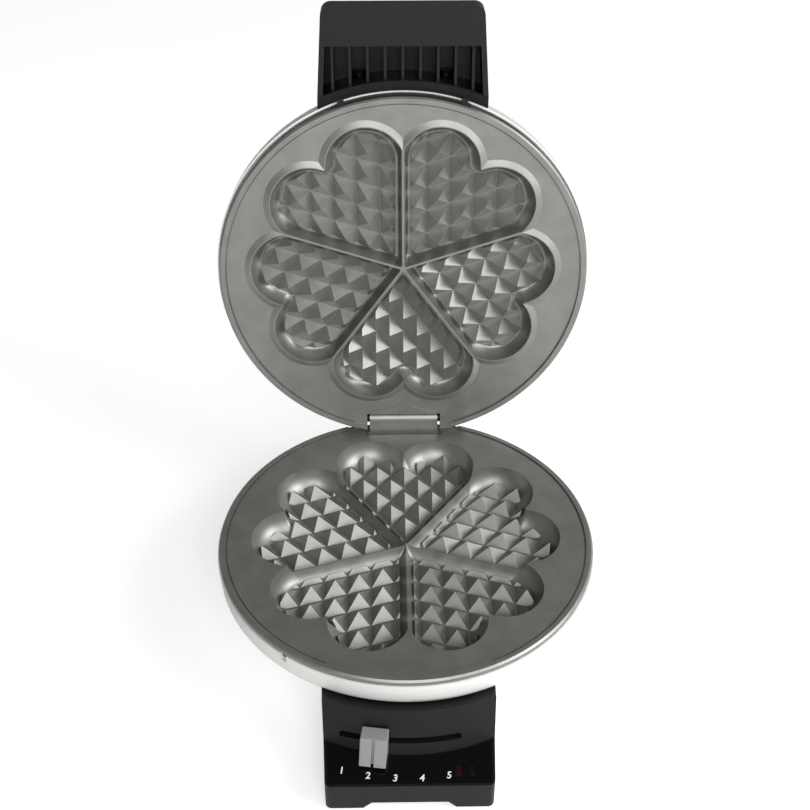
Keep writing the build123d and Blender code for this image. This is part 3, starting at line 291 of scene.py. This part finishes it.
for number, angle in zip("12345", setting_angles):
    text = bpy.data.curves.new("digit_" + number, "FONT")
    text.body = number
    text.size = digit_height
    text.shear = digit_slant
    text.offset = stroke_gain
    text.extrude = ink_depth
    text.align_x = "CENTER"
    text.align_y = "CENTER"
    writer = bpy.data.objects.new("writer", text)
    scene.collection.objects.link(writer)
    bpy.context.view_layer.update()
    written = writer.evaluated_get(bpy.context.evaluated_depsgraph_get())
    mesh = bpy.data.meshes.new_from_object(written)
    bpy.data.objects.remove(writer)
    x = scale_radius * math.sin(math.radians(angle))
    y = -scale_radius * math.cos(math.radians(angle))
    height = rim_height - rim_to_foot + math.tan(ledge_slope) * (y - wall_foot_y) + print_gap
    mesh.transform(Matrix.Translation((x, y, height)) @ Matrix.Rotation(ledge_slope, 4, "X"))
    digit = bpy.data.objects.new("digit_" + number, mesh)
    scene.collection.objects.link(digit)
    digit.data.materials.append(ink)
    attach(digit, "base")

# Slider knob: grey ABS, moulded in one piece with a fine matt grain, which is drawn coarser
# than it is. It sits on the end of the selector arm that comes through the slot.
knob_grain_width = 0.000455
grey = blank("grey ABS")
tree = grey.node_tree
place = add(tree, "ShaderNodeTexCoord", {})
grain = add(tree, "ShaderNodeTexNoise", {
    "Vector": place.outputs["Object"], "Scale": 1 / knob_grain_width, "Detail": 2.0,
})
bump = add(tree, "ShaderNodeBump", {
    "Height": grain.outputs["Fac"], "Strength": 0.15, "Distance": 0.0001,
})
skin = add(tree, "ShaderNodeBsdfPrincipled", {
    "Base Color": linear("#8f8f8f"), "Roughness": 0.42, "IOR": 1.54,
    "Normal": bump.outputs["Normal"],
})
add(tree, "ShaderNodeOutputMaterial", {"Surface": skin.outputs[0]})
dress(grey, "slider_knob")

# The two lenses: red and green polycarbonate, moulded with fine upright ribs that spread the
# light of the lamps behind them. The lamps are off, so the lenses look nearly black. The wave
# texture makes a rib every full turn, and goes through 20 radians for each unit of its scale.
rib_spacing = 0.000628
for name, lens_name, colour in (
    ("red_lens", "red polycarbonate", "#330a08"),
    ("green_lens", "green polycarbonate", "#0a1710"),
):
    lens = blank(lens_name)
    tree = lens.node_tree
    place = add(tree, "ShaderNodeTexCoord", {})
    ribs = add(tree, "ShaderNodeTexWave", {
        "Vector": place.outputs["Object"], "Scale": math.tau / 20 / rib_spacing,
    }, bands_direction="X")
    bump = add(tree, "ShaderNodeBump", {
        "Height": ribs.outputs["Fac"], "Strength": 0.3, "Distance": 0.0001,
    })
    skin = add(tree, "ShaderNodeBsdfPrincipled", {
        "Base Color": linear(colour), "Roughness": 0.12, "IOR": 1.585,
        "Normal": bump.outputs["Normal"], "Transmission Weight": 0.35,
    })
    add(tree, "ShaderNodeOutputMaterial", {"Surface": skin.outputs[0]})
    dress(lens, name)

# Indicator lamps: two small glass tubes, drawn and sealed, with a thin uneven film that the
# sealing leaves on them.
film_width = 0.0025
glass = blank("lamp glass")
tree = glass.node_tree
place = add(tree, "ShaderNodeTexCoord", {})
film = add(tree, "ShaderNodeTexNoise", {
    "Vector": place.outputs["Object"], "Scale": 1 / film_width, "Detail": 2.0,
})
shine = add(tree, "ShaderNodeMapRange", {
    "Value": film.outputs["Fac"], "To Min": 0.02, "To Max": 0.06,
})
skin = add(tree, "ShaderNodeBsdfPrincipled", {
    "Base Color": linear("#f4dfc8"), "Roughness": shine.outputs[0], "IOR": 1.5,
    "Transmission Weight": 0.9,
})
add(tree, "ShaderNodeOutputMaterial", {"Surface": skin.outputs[0]})
dress(glass, "indicator_lamps")

# Lamp holder and terminal block: natural polyamide without a pigment, so it is cream coloured,
# cloudy and matt.
cloud_width = 0.00667
cream = blank("natural polyamide")
tree = cream.node_tree
place = add(tree, "ShaderNodeTexCoord", {})
cloud = add(tree, "ShaderNodeTexNoise", {
    "Vector": place.outputs["Object"], "Scale": 1 / cloud_width, "Detail": 3.0,
})
ramp = add(tree, "ShaderNodeValToRGB", {"Fac": cloud.outputs["Fac"]})
ramp.color_ramp.elements[0].color = linear("#d6d0bd")
ramp.color_ramp.elements[1].color = linear("#e2ddcc")
skin = add(tree, "ShaderNodeBsdfPrincipled", {
    "Base Color": ramp.outputs["Color"], "Roughness": 0.5, "IOR": 1.53,
})
add(tree, "ShaderNodeOutputMaterial", {"Surface": skin.outputs[0]})
dress(cream, "lamp_holder", "terminal_block")

# Rear feet, front pads and cord gland: moulded black rubber, pressed into the plastic, with
# a dusty, uneven sheen.
dust_width = 0.002
rubber = blank("black rubber")
tree = rubber.node_tree
place = add(tree, "ShaderNodeTexCoord", {})
dust = add(tree, "ShaderNodeTexNoise", {
    "Vector": place.outputs["Object"], "Scale": 1 / dust_width, "Detail": 4.0,
})
ramp = add(tree, "ShaderNodeValToRGB", {"Fac": dust.outputs["Fac"]})
ramp.color_ramp.elements[0].color = linear("#161616")
ramp.color_ramp.elements[1].color = linear("#242423")
shine = add(tree, "ShaderNodeMapRange", {
    "Value": dust.outputs["Fac"], "To Min": 0.65, "To Max": 0.8,
})
skin = add(tree, "ShaderNodeBsdfPrincipled", {
    "Base Color": ramp.outputs["Color"], "Roughness": shine.outputs[0], "IOR": 1.52,
})
add(tree, "ShaderNodeOutputMaterial", {"Surface": skin.outputs[0]})
dress(rubber, "front_feet", "rear_feet", "cord_gland")

# Screws and thermostat spindle: turned steel, plated with bright zinc whose shine is uneven
# from handling.
wear_width = 0.00143
zinc = blank("zinc plated steel")
tree = zinc.node_tree
place = add(tree, "ShaderNodeTexCoord", {})
wear = add(tree, "ShaderNodeTexNoise", {
    "Vector": place.outputs["Object"], "Scale": 1 / wear_width, "Detail": 3.0,
})
shine = add(tree, "ShaderNodeMapRange", {
    "Value": wear.outputs["Fac"], "To Min": 0.24, "To Max": 0.38,
})
skin = add(tree, "ShaderNodeBsdfPrincipled", {
    "Base Color": linear("#bfc2c6"), "Metallic": 1.0, "Roughness": shine.outputs[0],
})
add(tree, "ShaderNodeOutputMaterial", {"Surface": skin.outputs[0]})
dress(zinc, "strap_screws", "casing_screws", "cover_screws", "housing_screws", "shield_screws",
      "lid_rear_screws", "thermostat_spindle")

# Handle screws and hinge pin: the same turned steel, blackened instead of plated, so that
# they don't stand out beside the black handle.
dark = blank("blackened steel")
tree = dark.node_tree
place = add(tree, "ShaderNodeTexCoord", {})
wear = add(tree, "ShaderNodeTexNoise", {
    "Vector": place.outputs["Object"], "Scale": 1 / wear_width, "Detail": 3.0,
})
ramp = add(tree, "ShaderNodeValToRGB", {"Fac": wear.outputs["Fac"]})
ramp.color_ramp.elements[0].color = linear("#1c1c1e")
ramp.color_ramp.elements[1].color = linear("#2a2a2c")
skin = add(tree, "ShaderNodeBsdfPrincipled", {
    "Base Color": ramp.outputs["Color"], "Metallic": 1.0, "Roughness": 0.45,
})
add(tree, "ShaderNodeOutputMaterial", {"Surface": skin.outputs[0]})
dress(dark, "handle_screws", "hinge_pin")

# Heat shields, thermostat strap and selector arm: pressed from galvanised sheet steel, which
# shows the zinc's spangle as patches of slightly different grey and shine.
spangle_width = 0.00455
sheet = blank("galvanised sheet steel")
tree = sheet.node_tree
place = add(tree, "ShaderNodeTexCoord", {})
spangle = add(tree, "ShaderNodeTexVoronoi", {
    "Vector": place.outputs["Object"], "Scale": 1 / spangle_width,
})
patch = add(tree, "ShaderNodeSeparateColor", {"Color": spangle.outputs["Color"]})
ramp = add(tree, "ShaderNodeValToRGB", {"Fac": patch.outputs[0]})
ramp.color_ramp.elements[0].color = linear("#a4a7a9")
ramp.color_ramp.elements[1].color = linear("#b9bbbd")
shine = add(tree, "ShaderNodeMapRange", {
    "Value": patch.outputs[1], "To Min": 0.34, "To Max": 0.46,
})
skin = add(tree, "ShaderNodeBsdfPrincipled", {
    "Base Color": ramp.outputs["Color"], "Metallic": 1.0, "Roughness": shine.outputs[0],
})
add(tree, "ShaderNodeOutputMaterial", {"Surface": skin.outputs[0]})
dress(sheet, "lower_shield", "upper_shield", "thermostat_strap", "selector_arm")

# Heating elements: bent tubes with a steel sheath that the heat has turned brown in clouds.
tint_width = 0.00909
sheath = blank("heat tinted steel sheath")
tree = sheath.node_tree
place = add(tree, "ShaderNodeTexCoord", {})
tint = add(tree, "ShaderNodeTexNoise", {
    "Vector": place.outputs["Object"], "Scale": 1 / tint_width, "Detail": 4.0,
})
ramp = add(tree, "ShaderNodeValToRGB", {"Fac": tint.outputs["Fac"]})
ramp.color_ramp.elements[0].color = linear("#5b4e42")
ramp.color_ramp.elements[1].color = linear("#7d7266")
skin = add(tree, "ShaderNodeBsdfPrincipled", {
    "Base Color": ramp.outputs["Color"], "Metallic": 1.0, "Roughness": 0.5,
})
add(tree, "ShaderNodeOutputMaterial", {"Surface": skin.outputs[0]})
dress(sheath, "lower_element", "upper_element")

# Thermostat: a closed body of steatite, an unglazed ceramic that is pressed and fired, matt
# and finely speckled.
speck_width = 0.00111
steatite = blank("steatite ceramic")
tree = steatite.node_tree
place = add(tree, "ShaderNodeTexCoord", {})
speck = add(tree, "ShaderNodeTexNoise", {
    "Vector": place.outputs["Object"], "Scale": 1 / speck_width, "Detail": 4.0,
})
ramp = add(tree, "ShaderNodeValToRGB", {"Fac": speck.outputs["Fac"]})
ramp.color_ramp.elements[0].color = linear("#cfc8b8")
ramp.color_ramp.elements[1].color = linear("#e4dfd2")
skin = add(tree, "ShaderNodeBsdfPrincipled", {
    "Base Color": ramp.outputs["Color"], "Roughness": 0.7, "IOR": 1.58,
})
add(tree, "ShaderNodeOutputMaterial", {"Surface": skin.outputs[0]})
dress(steatite, "thermostat")
